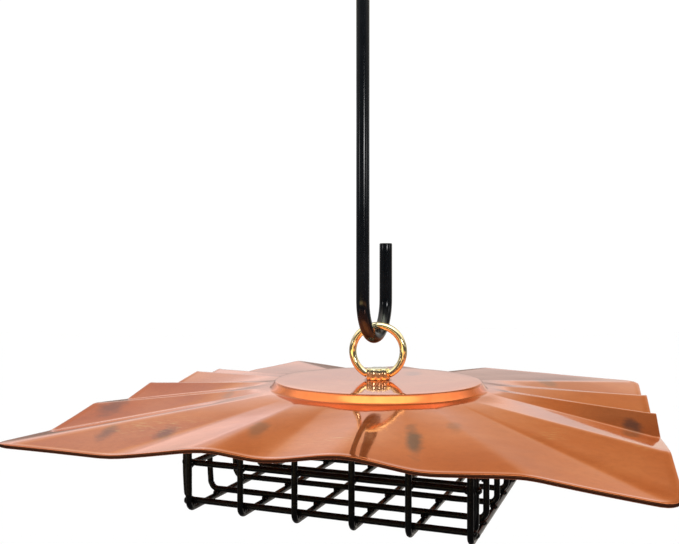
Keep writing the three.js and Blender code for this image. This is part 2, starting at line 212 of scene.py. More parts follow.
# dark grey-brown spots: x, y, half length and half width in millimetres, depth; all stretched the same way
DARK_SPOTS = [
    (-107, -61, 15, 7, 0.55), (-76, -105, 13, 4.5, 0.6), (-52, -101, 12, 4.5, 0.6),
    (-60, -36, 10, 3.5, 0.35), (-14, -96, 15, 4, 0.5), (46, -91, 20, 3.6, 0.85),
    (56, -70, 10, 3.5, 0.35), (118, -15, 8, 4.5, 0.75), (11, 28, 13, 5, 0.35),
    (-20, 96, 16, 6, 0.4), (72, 78, 14, 6, 0.5), (-96, 40, 12, 5, 0.4),
]
SPOT_TURN = 108.0
# scuffs: x, y, half length and half width in millimetres, turn in degrees
SCUFFS = [(-60, -93, 26, 13, 20), (121, -52, 16, 9, 100), (90, -60, 14, 7, 60), (20, -104, 18, 7, 10)]


def copper_material():
    """Lacquered copper sheet: soft clouding, dark spots, scuffs, and painted shade: a dark line along the
    rim's nose and the top of the disc's wall.
    """
    material, nodes, shader, where = new_material("lacquered_copper")
    clouds = nodes.noise(where, 22.0, 4.0, 0.55, 0.6)
    fine = nodes.noise(where, 160.0, 3.0, 0.6)
    colour = nodes.ramp(clouds, [(0.3, (0.74, 0.17, 0.040)), (0.5, (0.84, 0.22, 0.060)),
                                 (0.72, (0.90, 0.27, 0.085))])
    stains = nodes.noise(where, 46.0, 5.0, 0.68, 1.2)
    colour = nodes.mix(nodes.scale_range(stains, 0.50, 0.72, 0.0, 0.30), colour, rgb(0.56, 0.12, 0.025))
    grain = nodes.noise(where, 520.0, 3.0, 0.65)
    colour = nodes.mix(nodes.scale_range(grain, 0.45, 0.75, 0.0, 0.22), colour, rgb(0.50, 0.11, 0.03))

    blots = nodes.noise(where, 110.0, 3.0, 0.6)

    def patch(x, y, half_length, half_width, turn):
        """0 outside an uneven ellipse, rising to 1 in its middle."""
        local = nodes.add("ShaderNodeMapping", {"Vector": where}, vector_type="TEXTURE")
        local.inputs["Location"].default_value = (x * MM, y * MM, DISC_Z * MM)
        local.inputs["Rotation"].default_value = (0.0, 0.0, math.radians(turn))
        local.inputs["Scale"].default_value = (half_length * MM, half_width * MM, 1.0)
        far = nodes.add("ShaderNodeVectorMath", {0: local.outputs[0]}, operation="LENGTH").outputs["Value"]
        wobble = nodes.math("MULTIPLY", nodes.math("SUBTRACT", blots, 0.5), 1.5)
        return nodes.scale_range(nodes.math("ADD", far, wobble), 1.15, 0.25, 0.0, 1.0, smooth=True)

    # dark grey-brown spots over the sheet
    for x, y, half_length, half_width, depth in DARK_SPOTS:
        amount = nodes.math("MULTIPLY", patch(x, y, half_length, half_width, SPOT_TURN), depth)
        colour = nodes.mix(amount, colour, rgb(0.16, 0.085, 0.07))
    drawn = nodes.add("ShaderNodeMapping", {"Vector": where, "Rotation": (0.0, 0.0, math.radians(28)),
                                            "Scale": (180.0, 1500.0, 400.0)}).outputs[0]
    hairs = nodes.scale_range(nodes.noise(drawn, 1.0, 2.0, 0.6), 0.56, 0.66, 0.0, 1.0)
    for x, y, half_length, half_width, turn in SCUFFS:
        scuffed = nodes.math("MULTIPLY", patch(x, y, half_length, half_width, turn), hairs)
        amount = nodes.math("MULTIPLY", scuffed, 0.8)
        colour = nodes.mix(amount, colour, rgb(1.0, 0.55, 0.22))
    # painted shade: the edge attribute darkens the rim's nose and the top of the disc's wall nearly to
    # black, in place of the dark reflections there
    edge = nodes.add("ShaderNodeAttribute", attribute_name="edge").outputs["Fac"]
    colour = nodes.mix(edge, colour, rgb(0.035, 0.014, 0.012))
    nodes.feed(colour, shader.inputs["Base Color"])
    shader.inputs["Metallic"].default_value = 0.68
    nodes.feed(nodes.scale_range(fine, 0.3, 0.8, 0.05, 0.11), shader.inputs["Roughness"])
    waves = nodes.noise(where, 35.0, 2.0, 0.4)
    nodes.feed(nodes.bump(waves, 0.0006, 0.25), shader.inputs["Normal"])
    return material


def brass_material():
    material, nodes, shader, where = new_material("polished_brass")
    clouds = nodes.noise(where, 260.0, 3.0, 0.5)
    colour = nodes.ramp(clouds, [(0.35, (0.94, 0.80, 0.46)), (0.65, (0.98, 0.89, 0.60))])
    nodes.feed(colour, shader.inputs["Base Color"])
    shader.inputs["Metallic"].default_value = 0.9
    nodes.feed(nodes.scale_range(clouds, 0.3, 0.7, 0.05, 0.11), shader.inputs["Roughness"])
    return material


def paint_material(name, colour_low, colour_high, roughness, bump_scale, bump_depth, ior):
    """Black coating: nearly even colour, orange-peel surface."""
    material, nodes, shader, where = new_material(name)
    clouds = nodes.noise(where, 90.0, 3.0, 0.5)
    nodes.feed(nodes.ramp(clouds, [(0.3, colour_low), (0.7, colour_high)]),
               shader.inputs["Base Color"])
    nodes.feed(nodes.scale_range(clouds, 0.3, 0.7, roughness * 0.8, roughness * 1.25),
               shader.inputs["Roughness"])
    shader.inputs["IOR"].default_value = ior
    peel = nodes.noise(where, bump_scale, 2.0, 0.5)
    nodes.feed(nodes.bump(peel, bump_depth, 0.5), shader.inputs["Normal"])
    return material


def zinc_material():
    material, nodes, shader, where = new_material("zinc_plate")
    clouds = nodes.noise(where, 400.0, 4.0, 0.6)
    nodes.feed(nodes.ramp(clouds, [(0.3, (0.45, 0.46, 0.47)), (0.7, (0.66, 0.67, 0.69))]),
               shader.inputs["Base Color"])
    shader.inputs["Metallic"].default_value = 1.0
    nodes.feed(nodes.scale_range(clouds, 0.3, 0.7, 0.25, 0.42), shader.inputs["Roughness"])
    nodes.feed(nodes.bump(clouds, 0.00005, 0.4), shader.inputs["Normal"])
    return material


def rubber_material():
    material, nodes, shader, where = new_material("seal_rubber")
    grain = nodes.noise(where, 1800.0, 2.0, 0.5)
    nodes.feed(nodes.ramp(grain, [(0.3, (0.010, 0.010, 0.010)), (0.7, (0.02, 0.02, 0.02))]),
               shader.inputs["Base Color"])
    shader.inputs["Roughness"].default_value = 0.75
    nodes.feed(nodes.bump(grain, 0.0001, 0.4), shader.inputs["Normal"])
    return material


COPPER = copper_material()
BRASS = brass_material()
ROD_BLACK = paint_material("rod_black", (0.0036, 0.0046, 0.0060), (0.0062, 0.0078, 0.0098), 0.11,
                           320.0, 0.000012, 1.5)
WIRE_BLACK = paint_material("wire_black", (0.0018, 0.0018, 0.0019), (0.003, 0.003, 0.0032), 0.20,
                            900.0, 0.00012, 1.33)
ZINC = zinc_material()
RUBBER = rubber_material()


# ---- mesh helpers -----------------------------------------------------------------------------------

def make_object(name, points, faces, material, smooth=True):
    """A mesh object from points in millimetres."""
    mesh = bpy.data.meshes.new(name)
    mesh.from_pydata([tuple(Vector(p) * MM) for p in points], [], faces)
    mesh.materials.append(material)
    mesh.validate()
    mesh.update()
    if smooth:
        mesh.shade_smooth()
    obj = bpy.data.objects.new(name, mesh)
    bpy.context.collection.objects.link(obj)
    return obj


def settle(obj, body, slot_name, *nodes):
    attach(obj, body)
    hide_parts(*nodes)
    return obj


def ring_grid(rings):
    """Points and faces for a stack of equal rings; the ends are closed with a fan polygon."""
    count = len(rings[0])
    points = [p for ring in rings for p in ring]
    faces = []
    for r in range(len(rings) - 1):
        a, b = r * count, (r + 1) * count
        for i in range(count):
            j = (i + 1) % count
            faces.append((a + i, a + j, b + j, b + i))
    faces.append(tuple(reversed(range(count))))
    last = (len(rings) - 1) * count
    faces.append(tuple(range(last, last + count)))
    return points, faces


def tube_rings(path, radii, sides, round_end=0.0):
    """Rings along a path, with parallel-carried frames. round_end rounds both tips by that radius."""
    path = [Vector(p) for p in path]
    tangents = []
    for i in range(len(path)):
        before = path[max(i - 1, 0)]
        after = path[min(i + 1, len(path) - 1)]
        tangents.append((after - before).normalized())
    side = tangents[0].orthogonal().normalized()
    rings = []
    for i, (here, tangent) in enumerate(zip(path, tangents)):
        side = (side - tangent * side.dot(tangent)).normalized()
        up = tangent.cross(side)
        radius = radii[i] if isinstance(radii, (list, tuple)) else radii
        rings.append((here, tangent, side.copy(), up, radius))
    out = []

    def ring(centre, s, u, radius):
        return [centre + (s * math.cos(t) + u * math.sin(t)) * radius
                for t in (2 * math.pi * k / sides for k in range(sides))]

    def rounded(step):
        """How far in from the end, and how much narrower, a ring of the rounding is."""
        angle = math.pi / 2 * step / 4
        return round_end * (1 - math.cos(angle)), round_end * (1 - math.sin(angle))

    if round_end:
        here, tangent, s, u, radius = rings[0]
        for step in range(4):
            inward, inset = rounded(step)
            out.append(ring(here + tangent * inward, s, u, radius - inset))
    for i, (here, tangent, s, u, radius) in enumerate(rings):
        if round_end and i in (0, len(rings) - 1):
            shift = tangent * (round_end if i == 0 else -round_end)
            out.append(ring(here + shift, s, u, radius))
        else:
            out.append(ring(here, s, u, radius))
    if round_end:
        here, tangent, s, u, radius = rings[-1]
        for step in range(3, -1, -1):
            inward, inset = rounded(step)
            out.append(ring(here - tangent * inward, s, u, radius - inset))
    return out


def bent_path(corners, bend_radius, spacing=4.0, bend_steps=8):
    """Points along a polyline with rounded corners, straight runs divided too."""
    corners = [Vector(c) for c in corners]
    knots = [corners[0]]
    for i in range(1, len(corners) - 1):
        corner = corners[i]
        back = (corners[i - 1] - corner).normalized()
        on = (corners[i + 1] - corner).normalized()
        half = back.angle(on) / 2
        setback = bend_radius / math.tan(half)
        centre = corner + (back + on).normalized() * (bend_radius / math.sin(half))
        start = corner + back * setback - centre
        axis = back.cross(on).normalized()
        sweep = 2 * half - math.pi
        for step in range(bend_steps + 1):
            knots.append(Matrix.Rotation(sweep * step / bend_steps, 3, axis) @ start + centre)
    knots.append(corners[-1])
    path = [knots[0]]
    for here, there in zip(knots, knots[1:]):
        pieces = max(1, round((there - here).length / spacing))
        path += [here.lerp(there, k / pieces) for k in range(1, pieces + 1)]
    return path


def turned(name, profile, material, steps=48):
    """A turned piece on the bolt's axis, as a closed loop of (radius, z) round a bore, or with both
    ends on the axis. A third entry limits that row to a hexagon of so much across flats."""
    on_axis = profile[0][0] == 0.0
    points, faces, rows = [], [], []
    for radius, z, *flats in profile:
        start = len(points)
        if radius == 0.0:
            points.append((HUNG.x, HUNG.y, z))
            rows.append([start] * steps)
            continue
        for k in range(steps):
            angle = 2 * math.pi * k / steps
            reach = radius
            if flats:
                fold = (angle + math.pi / 6) % (math.pi / 3) - math.pi / 6
                reach = min(radius, flats[0] / 2 / math.cos(fold))
            points.append((HUNG.x + reach * math.cos(angle), HUNG.y + reach * math.sin(angle), z))
        rows.append(list(range(start, start + steps)))
    pairs = list(zip(rows, rows[1:]))
    if not on_axis:
        pairs.append((rows[-1], rows[0]))
    for low, high in pairs:
        for k in range(steps):
            j = (k + 1) % steps
            face = [low[k], low[j], high[j], high[k]]
            faces.append(tuple(dict.fromkeys(face)))
    return make_object(name, points, faces, material)


# ---- hanger -----------------------------------------------------------------------------------------

def build_hanger():
    upper = ROD_R - HOOK_DEPTH
    lower = HOOK_WIRE_Z + HOOK_DEPTH
    outline = []
    bend_steps, shank_steps, tail_steps = 40, 30, 6
    for k in range(tail_steps):
        outline.append((HOOK_HALF_W, upper - HOOK_TAIL * (1 - k / tail_steps)))
    for k in range(bend_steps + 1):
        angle = math.pi * k / bend_steps
        outline.append((HOOK_HALF_W * math.cos(angle), upper + HOOK_DEPTH * math.sin(angle)))
    for k in range(1, shank_steps):
        outline.append((-HOOK_HALF_W, upper + (lower - upper) * k / shank_steps))
    for k in range(bend_steps + 1):
        angle = math.pi + math.pi * k / bend_steps
        outline.append((HOOK_HALF_W * math.cos(angle), lower + HOOK_DEPTH * math.sin(angle)))
    for k in range(tail_steps - 1, -1, -1):
        outline.append((HOOK_HALF_W, lower + HOOK_TAIL * (1 - k / tail_steps)))
    turn = Matrix.Rotation(HANGER_TURN, 3, "Z")
    path = [turn @ Vector((0.0, y, z)) for y, z in outline]
    points, faces = ring_grid(tube_rings(path, ROD_R, 32, round_end=0.5))
    rod = make_object("hanger_hook_rod", points, faces, ROD_BLACK)
    settle(rod, "hanger", "rod_black", "hanger_rod")


# ---- eye --------------------------------------------------------------------------------------------

NUT_RIBS = 9
RIB_POINTS = 8
RIB_DEPTH = 1.0
NUT_OVER_DISC = 0.02  # the nut reaches down to this height over the disc
NUT_EXTRA_H = 0.28  # and is taller than in the CAD by this much to meet the ring


def build_eye():
    turn = Matrix.Rotation(EYE_TURN, 3, "Z")
    path = []
    steps = 72
    for k in range(steps + 1):
        angle = math.radians(-90 + RING_END + (360 - 2 * RING_END) * k / steps)
        point = Vector((RING_R * math.cos(angle), 0.0, RING_Z + RING_R * math.sin(angle)))
        path.append(turn @ point + HUNG)
    points, faces = ring_grid(tube_rings(path, RING_WIRE_R, 24))
    ring = make_object("eye_ring_polished", points, faces, BRASS)
    settle(ring, "eye", "brass", "eye_ring")

    count = NUT_RIBS * RIB_POINTS
    bottom = DISC_Z + NUT_OVER_DISC
    tall = NUT_H + NUT_EXTRA_H
    # height over the nut's bottom, and share of its full radius there
    levels = [(0.0, 0.97), (0.25, 1.0), (tall - 0.7, 1.0), (tall - 0.35, 0.985),
              (tall - 0.1, 0.94), (tall, 0.86)]
    rings = []
    for height, share in levels:
        row = []
        for k in range(count):
            angle = 2 * math.pi * k / count
            depth = RIB_DEPTH * (1 - abs(math.cos(NUT_RIBS * angle / 2)))
            radius = NUT_R * share - depth
            row.append(turn @ Vector((radius * math.cos(angle), radius * math.sin(angle),
                                      bottom + height)) + HUNG)
        rings.append(row)
    points, faces = ring_grid(rings)
    nut = make_object("eye_nut_ribbed", points, faces, BRASS)
    settle(nut, "eye", "brass", "eye_nut")


# ---- bolt, washers, nuts and hinge --------------------------------------------------------------------

GAP = 0.3  # between neighbours in the CAD
BOLT_R = 2.5
BORE_R = 2.6  # the bores of washers and nuts
WASHER_T = 1.2
CLAMP_WASHER_R = 19.0
BACKING_WASHER_R = 10.0
SEAL_WASHER_R = 8.0
JAM_NUT_H = 2.5
JAM_NUT_FLATS = 8.0
LOWER_WASHER_Z = LID_Z - WIRE_R - GAP - WASHER_T
UPPER_WASHER_Z = LID_Z + NEST + WIRE_R + GAP
LID_NUT_Z = UPPER_WASHER_Z + WASHER_T + GAP
ROOF_NUT_Z = LID_NUT_Z + JAM_NUT_H + GAP
BACKING_Z = ROOF_NUT_Z + JAM_NUT_H + GAP
SEAL_Z = BACKING_Z + WASHER_T + GAP
CLOSE = 0.14  # each piece is this much thicker at both faces, so that the stack is tight
HEAD_R = 4.75
HEAD_H = 2.75
HEAD_CROWN_R = 2.3
SOCKET_R = 1.9
SOCKET_H = 1.1  # from the socket's end to the shoulder
THREAD_PITCH = 0.8
THREAD_DEPTH = 0.3
BOLT_RISE = 4.9  # how far the bolt reaches into the eye nut, above the disc


def washer_profile(outer, z, thickness):
    low, high = z - CLOSE, z + thickness + CLOSE
    flat, mid, edge = outer - 0.75, outer - 0.25, outer - 0.075
    return [(BORE_R, low), (flat, low), (mid, low), (edge, low + 0.075), (outer, low + 0.25),
            (outer, high - 0.25), (edge, high - 0.075), (mid, high), (flat, high), (BORE_R, high)]


def hex_nut_profile(z):
    low, high = z - CLOSE, z + JAM_NUT_H + CLOSE
    half = JAM_NUT_FLATS / 2
    corner = half * 1.1547  # a hexagon's corners, against its flats
    face = half * 0.96
    rise = (corner - half) * 0.58
    side = [(face + (corner - face) * k / 4, rise * k / 4) for k in range(5)]
    lower = [(r, low + up, JAM_NUT_FLATS) for r, up in side]
    upper = [(r, high - up, JAM_NUT_FLATS) for r, up in reversed(side)]
    bore = [(BORE_R + 0.3, high), (BORE_R, high - 0.3), (BORE_R, low + 0.3)]
    return [(BORE_R + 0.3, low)] + lower + upper + bore


def bolt_profile():
    shoulder = LOWER_WASHER_Z - GAP
    bottom = shoulder - HEAD_H
    top = DISC_Z + BOLT_RISE
    socket_top = shoulder - SOCKET_H
    head = [(0.0, socket_top), (SOCKET_R * 0.86, socket_top, 3.0), (SOCKET_R, socket_top - 0.2, 3.2),
            (SOCKET_R, bottom + 0.15, 3.2), (SOCKET_R + 0.3, bottom)]
    for k in range(1, 9):
        angle = math.pi / 2 * k / 8
        head.append((HEAD_CROWN_R + (HEAD_R - HEAD_CROWN_R) * math.sin(angle),
                     shoulder - 0.35 - (HEAD_H - 0.35) * math.cos(angle)))
    head += [(HEAD_R, shoulder - 0.1), (HEAD_R - 0.12, shoulder + CLOSE), (BOLT_R, shoulder + CLOSE)]
    thread_low = LID_NUT_Z - 0.2
    thread_high = BACKING_Z - 0.2
    thread = []
    for k in range(int((thread_high - thread_low) / THREAD_PITCH)):
        thread.append((BOLT_R, thread_low + k * THREAD_PITCH))
        thread.append((BOLT_R - THREAD_DEPTH, thread_low + (k + 0.5) * THREAD_PITCH))
    end = [(BOLT_R, thread_high), (BOLT_R, top - 0.5), (BOLT_R - 0.5, top), (0.0, top)]
    return head + thread + end


def build_hardware():
    settle(turned("bolt_button_head", bolt_profile(), ZINC), "canopy", "zinc", "lid_bolt")
    for name, node, outer, z in (
            ("washer_clamp_low", "clamp_washer_lower", CLAMP_WASHER_R, LOWER_WASHER_Z),
            ("washer_clamp_high", "clamp_washer_upper", CLAMP_WASHER_R, UPPER_WASHER_Z),
            ("washer_backing", "roof_backing_washer", BACKING_WASHER_R, BACKING_Z)):
        settle(turned(name, washer_profile(outer, z, WASHER_T), ZINC, 72), "canopy", "zinc", node)
    seal_t = DISC_Z - SHEET_T - GAP - SEAL_Z
    seal = turned("washer_seal", washer_profile(SEAL_WASHER_R, SEAL_Z, seal_t), RUBBER)
    settle(seal, "canopy", "seal_rubber", "roof_seal_washer")
    for name, node, z in (("nut_jam_lid", "lid_jam_nut", LID_NUT_Z),
                          ("nut_jam_roof", "roof_jam_nut", ROOF_NUT_Z)):
        settle(turned(name, hex_nut_profile(z), ZINC), "canopy", "zinc", node)


def build_hinge_loops():
    """Long wire loops round the lid's hoop and the basket's rim, open on the inner side."""
    reach = WIRE_R + HINGE_WIRE_R + GAP
    drop = LID_UP - RIM_UP
    outline = [(reach, -0.15)]
    for k in range(1, 33):
        angle = math.radians(-4 + 188 * k / 32)
        outline.append((reach * math.cos(angle), reach * math.sin(angle)))
    for k in range(31):
        angle = math.radians(180 + 174 * k / 30)
        outline.append((reach * math.cos(angle), reach * math.sin(angle) - drop))
    for name, side in (("front", -1), ("back", 1)):
        path = [in_cage(HOOP_LEFT_X + x, side * HINGE_Y, LID_Z + z) for x, z in outline]
        points, faces = ring_grid(tube_rings(path, HINGE_WIRE_R, 16))
        loop = make_object(f"hinge_loop_{name}", points, faces, ZINC)
        settle(loop, "basket", "zinc", f"hinge_ring_{name}")


def ease_clip_edges():
    """The spring clip stays as it is in the CAD, with its sharp edges taken off."""
    clip = frame["nodes"]["lid_spring_clip"]
    edges = clip.modifiers.new("eased_edges", "BEVEL")
    edges.width = 0.15 * MM
    edges.segments = 2
    edges.limit_method = "ANGLE"
    edges.angle_limit = math.radians(40)


# ---- roof -------------------------------------------------------------------------------------------

def rim_radius(azimuth):
    folded = abs(azimuth % 90 - 45)
    from_face = math.radians(45 - folded)
    flat = ROOF_HALF / math.cos(from_face)
    start = ROOF_HALF - ROOF_CORNER_R
    if flat * math.sin(from_face) <= start:
        return flat
    along = start * (math.cos(from_face) + math.sin(from_face))
    return along + math.sqrt(along ** 2 - 2 * start ** 2 + ROOF_CORNER_R ** 2)


def crease(t):
    """Azimuth and drop at the rim and azimuth at the foot, for a place t counted in creases."""
    count = len(FLUTES)
    index = math.floor(t)
    share = t - index
    wrap_a, a = divmod(index, count)
    wrap_b, b = divmod(index + 1, count)
    here, there = FLUTES[a], FLUTES[b]
    tuck_a = CORNER_TUCK if here[0] == TUCKED else 0.0
    tuck_b = CORNER_TUCK if there[0] == TUCKED else 0.0
    azimuth = (here[0] + 360 * wrap_a) * (1 - share) + (there[0] + 360 * wrap_b) * share
    foot = (here[2] + 360 * wrap_a) * (1 - share) + (there[2] + 360 * wrap_b) * share
    drop = here[1] * (1 - share) + there[1] * share
    return azimuth, drop, foot, tuck_a * (1 - share) + tuck_b * share


def ease(x):
    x = min(max(x, 0.0), 1.0)
    return x * x * (3 - 2 * x)


MEAN_DROP = sum(row[1] for row in FLUTES) / len(FLUTES)
LEVEL_RIM = 3.0  # millimetres of rim that lie level above the hem
DISC_EDGE_ROW = 8  # the row of points along the top of the disc's wall
ROLLING_AT = 268.0  # the rim rolls softly about this direction, and is crisp elsewhere
ROLLING_HALF = 34.0
# how a flute's fold is softened: places across it, in smoothing widths, and their weights
SOFTENING = ((-1.0, 0.15), (-0.5, 0.22), (0.0, 0.26), (0.5, 0.22), (1.0, 0.15))
# places across one flute, and shares of the way from the disc's foot to the rim
FLUTE_SAMPLES = (0.0, 0.04, 0.09, 0.16, 0.26, 0.38, 0.5, 0.62, 0.74, 0.84, 0.91, 0.96)
TOP_ROWS = (0.03, 0.07, 0.12, 0.18, 0.25, 0.33, 0.41, 0.5, 0.58, 0.66, 0.74, 0.81, 0.87, 0.92,
            0.945, 0.957, 0.965, 0.98)
UNDER_ROWS = (0.87, 0.74, 0.58, 0.41, 0.25, 0.12, 0.05)
# round the rim's nose: inset from the edge, depth, and how much painted shade darkens the sheet there
NOSE_ROWS = ((0.22, 0.0, 0.0), (0.07, 0.06, 0.35), (0.0, 0.22, 0.9), (0.0, 0.75, 0.95),
             (0.05, 1.1, 0.9), (0.2, 1.35, 0.6), (0.5, HEM_T, 0.2))
# painted shade along the top of the disc's wall
DISC_EDGE_SHADE = 0.35


def build_roof():
    places = [k + s for k in range(len(FLUTES)) for s in FLUTE_SAMPLES]
    # radius and height of the sheet's top, from the bolt's hole to the foot of the disc
    middle_top = [(BOLT_HOLE_R, 0.0), (8.0, 0.0), (16.0, 0.0), (26.0, 0.0), (36.0, 0.0), (44.0, 0.0),
                  (DISC_R - 0.7, 0.0), (DISC_R - 0.2, -0.05), (DISC_R + 0.2, -0.3), (DISC_R + 0.6, -0.9),
                  (DISC_WALL_R - 0.9, -1.8), (DISC_WALL_R - 0.4, -2.6), (DISC_WALL_R, -DISC_WALL_H),
                  (DISC_WALL_R + 0.25, -3.42), (DISC_WALL_R + 0.6, -3.64), (DISC_WALL_R + 1.0, -3.75),
                  (DISC_FOOT_R, -DISC_STEP)]
    columns = []
    for t in places:
        azimuth, drop, foot, tuck = crease(t)
        rim = rim_radius(azimuth) - tuck
        loose = math.exp(-((azimuth % 360 - ROLLING_AT) / ROLLING_HALF) ** 2)
        rim_angle = math.radians(azimuth)
        foot_angle = math.radians(foot)
        rim_point = Vector((rim * math.cos(rim_angle), rim * math.sin(rim_angle)))
        foot_dir = Vector((math.cos(foot_angle), math.sin(foot_angle)))
        foot_point = foot_dir * DISC_FOOT_R
        column = []
        length = (rim_point - foot_point).length
        level_from = 1 - LEVEL_RIM / length

        def height(place):
            """Height of the sheet's top, for a share of the way from the disc's foot to the rim."""
            u = min(place / level_from, 1.0)
            width = 0.05 + 0.23 * u * u * loose
            soft = sum(weight * crease(t + offset * width)[1] for offset, weight in SOFTENING)
            flare = u * ease(u / 0.12)
            return -DISC_STEP - u * (MEAN_DROP - DISC_STEP) - flare * (soft - MEAN_DROP)

        for radius, z in middle_top:
            column.append((foot_dir.x * radius, foot_dir.y * radius, z))
        for u in TOP_ROWS:
            p = foot_point.lerp(rim_point, u)
            column.append((p.x, p.y, height(u)))
        z_rim = height(1.0)
        for inset, depth, _ in NOSE_ROWS:
            p = foot_point.lerp(rim_point, 1 - inset / length)
            column.append((p.x, p.y, z_rim - depth))
        hem_u = 1 - HEM_W / length
        for u, depth in ((0.985, HEM_T), (hem_u + 0.008, HEM_T), (hem_u, HEM_T - 0.25),
                         (hem_u - 0.004, SHEET_T)):
            p = foot_point.lerp(rim_point, u)
            column.append((p.x, p.y, height(u) - depth))
        for u in UNDER_ROWS:
            p = foot_point.lerp(rim_point, u)
            column.append((p.x, p.y, height(u) - SHEET_T))
        for radius, z in reversed(middle_top):
            column.append((foot_dir.x * radius, foot_dir.y * radius, z - SHEET_T))
        columns.append(column)
    # painted shade for each row of a column, kept in the edge attribute
    painted_shade = [0.0] * len(columns[0])
    painted_shade[DISC_EDGE_ROW] = DISC_EDGE_SHADE
    nose_row = len(middle_top) + len(TOP_ROWS)
    for row, (_, _, amount) in enumerate(NOSE_ROWS):
        painted_shade[nose_row + row] = amount
    turn = Matrix.Rotation(ROOF_TURN, 3, "Z")
    lift = HUNG + Vector((0.0, 0.0, DISC_Z))
    points, faces = [], []
    for column in columns:
        points += [turn @ Vector(p) + lift for p in column]
    size = len(columns[0])
    count = len(columns)
    for c in range(count):
        a, b = c * size, ((c + 1) % count) * size
        for i in range(size):
            j = (i + 1) % size
            faces.append((a + i, a + j, b + j, b + i))
    roof = make_object("roof_copper_sheet", points, faces, COPPER)
    edge = roof.data.attributes.new("edge", "FLOAT", "POINT")
    edge.data.foreach_set("value", painted_shade * count)
    settle(roof, "canopy", "copper_sheet", "roof_canopy")


# ---- wires ------------------------------------------------------------------------------------------

COAT_SIDES = 14
COAT_UNEVEN = 0.035
WEB_HALF_LENGTH = 2.7
WEB_HALF_WIDTH = 1.15
# seeds for the unevenness of the coats
BASKET_SEED = 1.0
LID_SEED = 50.0
SEED_STEP = 3.7
# half sizes along X, Y and Z of the paint-filled welds
FLOOR_BEAD = (1.9, 1.9, 1.25)
LONG_SIDE_BEAD = (2.1, 1.35, 2.1)
BEND_BEAD = (1.7, 1.8, 1.8)
END_BEAD = (1.3, 2.1, 2.1)
POST_FOOT_BEAD = (1.9, 1.9, 1.9)
POST_MID_BEAD = (1.7, 1.5, 1.6)
POST_BEND_BEAD = (2.0, 1.6, 1.6)
HOOP_CORNER_BEAD = (2.4, 2.4, 1.7)
LID_LONG_BEAD = (1.35, 1.35, 1.0)
LID_CROSS_BEAD = (1.35, 0.9, 1.25)


def bead(centre, radii, steps=8, rows=5):
    """A squashed ball of paint or weld metal, as points and faces."""
    points, faces = [], []
    centre = Vector(centre)
    for r in range(1, rows):
        tilt = math.pi * r / rows
        for k in range(steps):
            angle = 2 * math.pi * k / steps
            points.append(centre + Vector((radii[0] * math.sin(tilt) * math.cos(angle),
                                           radii[1] * math.sin(tilt) * math.sin(angle),
                                           radii[2] * math.cos(tilt))))
    top = len(points)
    points.append(centre + Vector((0, 0, radii[2])))
    points.append(centre - Vector((0, 0, radii[2])))
    for r in range(rows - 2):
        for k in range(steps):
            j = (k + 1) % steps
            faces.append((r * steps + k, (r + 1) * steps + k, (r + 1) * steps + j, r * steps + j))
    for k in range(steps):
        j = (k + 1) % steps
        faces.append((k, j, top))
        last = (rows - 2) * steps
        faces.append((last + j, last + k, top + 1))
    return points, faces


def merge(parts):
    points, faces = [], []
    for some_points, some_faces in parts:
        offset = len(points)
        points += some_points
        faces += [tuple(i + offset for i in face) for face in some_faces]
    return points, faces


def coat(path, seed):
    """A dipped wire: the coat is slightly uneven along its length."""
    radii = [WIRE_R * (1.0 + COAT_UNEVEN * noise.noise(Vector(p) * 0.16 + Vector((seed, 0.0, 0.0))))
             for p in path]
    return ring_grid(tube_rings(path, radii, COAT_SIDES, round_end=0.5))


def wire_piece(name, node, body, path, seed, beads=(), extra=()):
    parts = [coat(path, seed)] + list(extra)
    parts += [bead(centre, radii) for centre, radii in beads]
    points, faces = merge(parts)
    piece = make_object(name, points, faces, WIRE_BLACK)
    return settle(piece, body, "wire_black", node)


def post_web(x, y, z_low, z_high, towards):
    """The paint that fills the corner between a pair of legs: a flat upright body."""
    along = Vector((towards[0], towards[1], 0.0)).normalized()
    across = Vector((-along.y, along.x, 0.0))
    rings = []
    steps = 14
    for k in range(steps + 1):
        z = z_low + (z_high - z_low) * k / steps
        fade = min(1.0, 0.35 + 2.5 * min(k, steps - k) / steps)
        wave = 1.0 + 0.12 * noise.noise(Vector((x, y, z)) * 0.22)
        row = []
        for n in range(COAT_SIDES):
            angle = 2 * math.pi * n / COAT_SIDES
            reach = along * (WEB_HALF_LENGTH * fade * math.cos(angle))
            bulge = across * (WEB_HALF_WIDTH * wave * fade * math.sin(angle))
            row.append(in_cage(x, y, z) + reach + bulge)
        rings.append(row)
    return ring_grid(rings)


def in_cage(x, y, z):
    return CAGE + Vector((x, y, z))


def hoop_path(z):
    corners = [in_cage(0.15, HOOP_Y, z), in_cage(HOOP_RIGHT_X, HOOP_Y, z),
               in_cage(HOOP_RIGHT_X, -HOOP_Y, z), in_cage(HOOP_LEFT_X, -HOOP_Y, z),
               in_cage(HOOP_LEFT_X, HOOP_Y, z), in_cage(-0.15, HOOP_Y, z)]
    return bent_path(corners, HOOP_BEND_R)


def cross_wire_beads(x):
    beads = []
    for y in LONG_Y:
        lift = 1.7 if abs(y) == LONG_OUTER_Y else 1.2
        beads.append((in_cage(x, y, CAGE_Z + lift), FLOOR_BEAD))
    for up in (MID_HOOP_UP, RIM_UP):
        for side in (-1, 1):
            beads.append((in_cage(x, side * (HALF_Y - 1.1), CAGE_Z + up), LONG_SIDE_BEAD))
    for side in (-1, 1):
        beads.append((in_cage(x, side * (HALF_Y - 1.8), CAGE_Z + 1.8), BEND_BEAD))
    return beads


